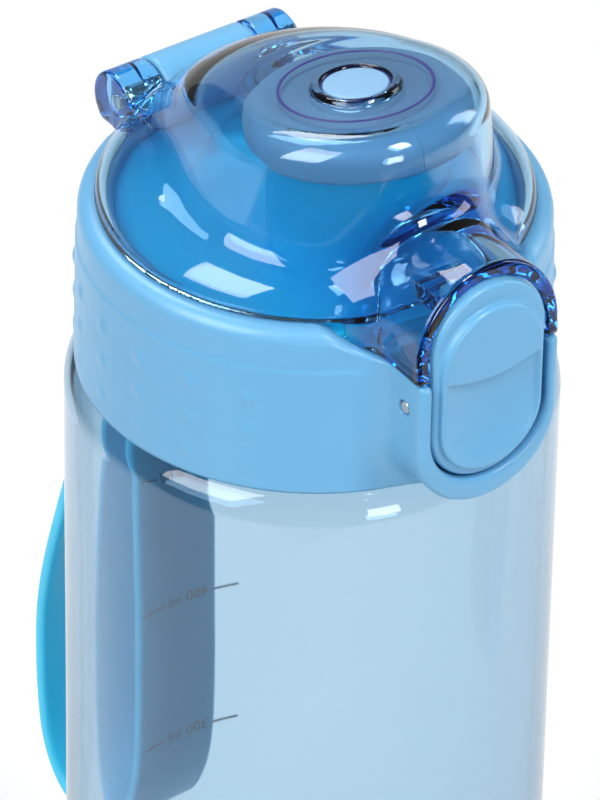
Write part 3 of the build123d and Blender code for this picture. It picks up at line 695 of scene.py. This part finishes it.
def button_form(x, y, z):
    """Plate, raised pad, ledge and hollow, with the barrel for its pin and the nose of its hook."""
    h = z - RIM
    plate = np.hypot(x, h - np.clip(h, BUTTON_LOW, BUTTON_HIGH)) - BUTTON_HALF
    plate = meet(plate, np.abs(y - (PLATE_FRONT + PLATE_BACK) / 2) - (PLATE_BACK - PLATE_FRONT) / 2, 0.7)
    pad = np.hypot(x, h - np.clip(h, BUTTON_LOW + 0.6, PAD_HIGH)) - PAD_HALF
    raised = meet(pad, np.abs(y - FACE - 1.2) - 1.2, 0.8)
    body = join(plate, raised, 0.5)
    ledge = h - LEDGE - LEDGE_CURVE * x * x
    dish = np.sqrt(x * x + (y - FACE - DISH_DEEP + DISH_R) ** 2 + (h - DISH_MIDDLE) ** 2) - DISH_R
    dish = meet(dish, np.hypot(x, h - np.clip(h, BUTTON_LOW + 0.6, PAD_HIGH)) - PAD_HALF + 0.5, 0.9)
    body = cut(body, meet(dish, ledge, 0.3), 0.45)
    barrel = meet(np.hypot(y - pivot[1], z - pivot[2]) - 2.6, np.abs(x) - 8.0, 0.3)
    nose = meet(meet(np.abs(x) - 4, np.abs(h - 5.5) - 1.0, 0.2), np.abs(y + 39.6) - 3.0, 0.3)
    body = join(join(body, barrel, 0.8), nose, 0.5)
    return cut(body, np.hypot(y - pivot[1], z - pivot[2]) - 1.15)


button = moulded("push_button", (-10.4, -45, RIM - 24.2), (10.4, -35.5, RIM + 10), button_form, sky,
                 grain=0.26)
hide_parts("latch_button")
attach(button, "button")

# The plug: a thick disc of light blue silicone that closes the spout. Its nub is pulled up through
# the hole in the lid and holds it there. The mould's parting line runs down its front.
LID_SLOPE = math.radians(9.6)
SPOUT_Y = -9.3
LID_TOP = 23.9
LID_WALL = 1.8
PLUG_R = 16.1
PLUG_T = 5.4
PLUG_ROUND = 3.0
PLUG_DARK = (0.200, 0.400, 0.620)
PLUG_LIGHT = (0.240, 0.450, 0.680)
NUB_R, NUB_TOP = 4.8, 0.62
plug_silicone = soft_silicone("plug_silicone", PLUG_DARK, PLUG_LIGHT, (0.3, 0.42))
lid_crown = Matrix.Translation((0, SPOUT_Y * MM, (RIM + LID_TOP) * MM))
on_lid = lid_crown @ Matrix.Rotation(-LID_SLOPE, 4, "X")
disc_top = -LID_WALL - 0.1
disc_low = disc_top - PLUG_T
plug_outline = [(0, disc_low - 3.0), (9.4, disc_low - 3.0), (9.9, disc_low - 2.7), (10.4, disc_low)]
plug_outline += [(PLUG_R - 0.8, disc_low)] + arc((PLUG_R - 0.8, disc_low + 0.8), (0.8, 0.8), -90, 0, 5)
top_round = arc((PLUG_R - PLUG_ROUND, disc_top - PLUG_ROUND), (PLUG_ROUND, PLUG_ROUND), 0, 90, 12)
plug_outline += top_round + [(NUB_R, disc_top), (NUB_R, 0.2)]
plug_outline += arc((NUB_R - 0.4, 0.2), (0.4, 0.35), 0, 90, 5) + [(0, NUB_TOP)]
plug = turned("lid_plug_disc", plug_outline, plug_silicone, segments=160)
plug.data.transform(on_lid)
seam = bpy.data.curves.new("plug_parting_line", "CURVE")
seam.dimensions = "3D"
seam.bevel_depth = 0.07 * MM
seam_line = seam.splines.new("POLY")
seam_route = [(6.5, disc_top)] + top_round[::-1] + [(PLUG_R, disc_low + 0.8)]
seam_line.points.add(len(seam_route) - 1)
for point, (reach, height) in zip(seam_line.points, seam_route):
    point.co = (*(on_lid @ Vector((-0.03 * reach * MM, -reach * MM, height * MM))), 1)
seam.materials.append(plug_silicone)
parting = bpy.data.objects.new("plug_parting_line", seam)
bpy.context.scene.collection.objects.link(parting)
for part in (plug, parting):
    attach(part, "lid")
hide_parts("lid_plug")

# The lid: one moulding in clear blue plastic with an egg-shaped dome over the spout, an arched
# hood round the button and two ears for the hinge pin. Its long edges gather the tint and go navy.
REAR_BULGE = 1.1                     # the rear flank is rounded rather than straight
LID_TINT = (0.0, 0.64, 0.955)
LID_DEPTH = 205.0
RIM_R = 32.0
SKIRT_RISE = 11.84
CREASE = 7.0                         # the dome's sides start to lean in at this height
FRONT_R, FRONT_SHRINK = 23.5, 4.7    # the dome's front round, and what it loses by the top
FRONT_Y, FRONT_SHIFT = -4.0, 5.3     # its middle, and how far that moves forward
REAR_R, REAR_SHRINK = 18.7, 0.5
REAR_Y, REAR_SHIFT = 10.0, 18.3
HOOD_R, HOOD_WALL, HOOD_H = 12.25, 2.25, -0.5
HOOD_FRONT, HOOD_LEAN = 42.6, 0.08       # its front edge leans back
EAR_MIDDLE, EAR_HALF = 11.95, 3.35


def egg_wall(x, y, h):
    """Distance from the dome's side: two round ends that lean together towards the top."""
    share = np.clip((h - CREASE) / (LID_TOP - CREASE), -0.4, 1.0)
    front_r, front_y = FRONT_R - FRONT_SHRINK * share, FRONT_Y - FRONT_SHIFT * share
    sweep = np.maximum(share, 0.0) ** REAR_BULGE
    rear_r, rear_y = REAR_R - REAR_SHRINK * share, REAR_Y - REAR_SHIFT * sweep
    span = rear_y - front_y
    lean = (front_r - rear_r) / span
    level = np.sqrt(1 - lean * lean)
    px, py = np.abs(x), y - front_y
    along = py * level - px * lean
    to_front = np.hypot(px, py)
    to_rear = np.hypot(px, py - span)
    side = px * level + py * lean - front_r
    reach = np.where(along > level * span, to_rear - rear_r, side)
    reach = np.where(along < 0, to_front - front_r, reach)
    rise = LID_TOP - CREASE
    facing_front = np.where(along < 0, py / np.maximum(to_front, 1e-6), lean)
    facing_rear = np.where(along > level * span, (py - span) / np.maximum(to_rear, 1e-6), lean)
    slope_front = (-FRONT_SHIFT * facing_front - FRONT_SHRINK) / rise
    back_lean = REAR_SHIFT * REAR_BULGE * np.maximum(share, 0.0) ** (REAR_BULGE - 1)
    slope_rear = (-back_lean * facing_rear - REAR_SHRINK) / rise
    mix = np.clip(along / np.maximum(level * span, 1e-6), 0, 1)
    slope = slope_front + (slope_rear - slope_front) * mix
    return reach / np.sqrt(1 + slope * slope)


def lid_body(x, y, h, inset):
    """Skirt and dome as one closed form, made smaller all over by inset."""
    rise = np.maximum(h, 0)
    radius = np.hypot(x, y)
    near = np.sqrt((radius / RIM_R) ** 2 + (rise / SKIRT_RISE) ** 2)
    steep = np.sqrt((radius / RIM_R ** 2) ** 2 + (rise / SKIRT_RISE ** 2) ** 2)
    skirt = near * (near - 1) / np.maximum(steep, 1e-6) + inset
    ceiling = (y - SPOUT_Y) * math.sin(LID_SLOPE) + (h - LID_TOP) * math.cos(LID_SLOPE) + inset
    dome = meet(egg_wall(x, y, h) + inset, ceiling, 5.0 - inset)
    return join(skirt, dome, 2.2)


def lid_form(x, y, z):
    """The hollow lid with its hood, ears, catch, pin bore and the raised ring round the nub."""
    h = z - RIM
    radius = np.hypot(x, y)
    shell = lid_body(x, y, h, 0.0)
    arch = np.where(h > HOOD_H, np.hypot(x, h - HOOD_H), np.abs(x))
    hood = meet(meet(arch - HOOD_R, HOOD_LEAN * h - HOOD_FRONT - y, 0.7), y + 18)
    outer = join(shell, hood, 6.0)
    beside = np.abs(np.abs(x) - EAR_MIDDLE) - EAR_HALF
    ear = meet(np.hypot(y - HINGE_Y, h - HINGE_H) - BARREL_R, beside, 0.5)
    upper = (y - 12) * 0.21 + (h - 9.6) * 0.978
    arm = meet(meet(upper, -h - 0.2, 0.3), meet(y - HINGE_Y, 12 - y))
    arm = meet(arm, beside, 0.5)
    outer = join(join(outer, arm, 1.0), ear, 0.6)
    void = lid_body(x, y, h, LID_WALL)
    lid = cut(outer, void, 0.2)
    under_arch = meet(arch - HOOD_R + HOOD_WALL, y + 20)
    lid = cut(lid, cut(under_arch, shell), 0.4)
    lid = meet(lid, rim_height(x, y) - h, 0.3)
    lid = cut(lid, meet(radius - RIM_R - SLEEVE, h + 0.02))
    catch = meet(meet(np.abs(x) - 4, np.abs(h - 2.5) - 1.4, 0.2), np.abs(y + 33.0) - 3.0, 0.2)
    lid = join(lid, cut(catch, void), 0.3)
    room = meet(np.abs(x) - KNUCKLE_HALF - 0.3, HINGE_Y - BARREL_R - 0.5 - y)
    lid = cut(lid, room, 0.3)
    pin_bore = meet(np.hypot(y - HINGE_Y, h - HINGE_H) - 1.25, -x - 13.3)
    lid = cut(lid, pin_bore)
    lift = (y - SPOUT_Y) * math.sin(LID_SLOPE) + (h - LID_TOP) * math.cos(LID_SLOPE)
    out = (y - SPOUT_Y) * math.cos(LID_SLOPE) - (h - LID_TOP) * math.sin(LID_SLOPE)
    off = np.hypot(x, out)
    ring = meet(np.abs(off - 5.75) - 0.7, np.abs(lift) - 0.7, 0.45)
    lid = join(lid, ring, 0.2)
    return cut(lid, meet(off - 4.95, np.abs(lift) - 4), 0.15)


lid_plastic = clear_plastic("clear_blue_lid_plastic", LID_TINT, LID_DEPTH, haze=(0.0, 0.03))
lid = moulded("flip_lid", (-33.5, -45, RIM - 5.5), (33.5, 36.5, RIM + 28.5), lid_form, lid_plastic)
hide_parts("lid_cover")
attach(lid, "lid")

# Two hair-thin dark blue rings on the lid's top, one at the nub's hole and one further out, are
# painted shade: opaque dark plastic laid where the clear lid's edges read as dark blue lines.
# painted shade: the colour of the dark edges seen in the clear lid, given to opaque rings
PAINTED_EDGE_SHADE = (0.030, 0.035, 0.230)
painted_shade_plastic = satin_plastic("painted_shade_line_plastic", PAINTED_EDGE_SHADE, PAINTED_EDGE_SHADE, glow=0.0)
# painted shade rings: thin opaque dark blue bands standing in for the clear lid's dark edges
for name, reach, width, low, high in (("painted_shade_line_outer", 11.1, 0.22, -0.25, 0.035),
                                      ("painted_shade_line_inner", 4.97, 0.10, -0.30, 0.30)):
    near, far = reach - width, reach + width
    outline = [(near, low), (far, low), (far, high), (near, high)]
    ring = turned(name, outline, painted_shade_plastic, segments=128)
    ring.data.transform(on_lid)
    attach(ring, "lid")
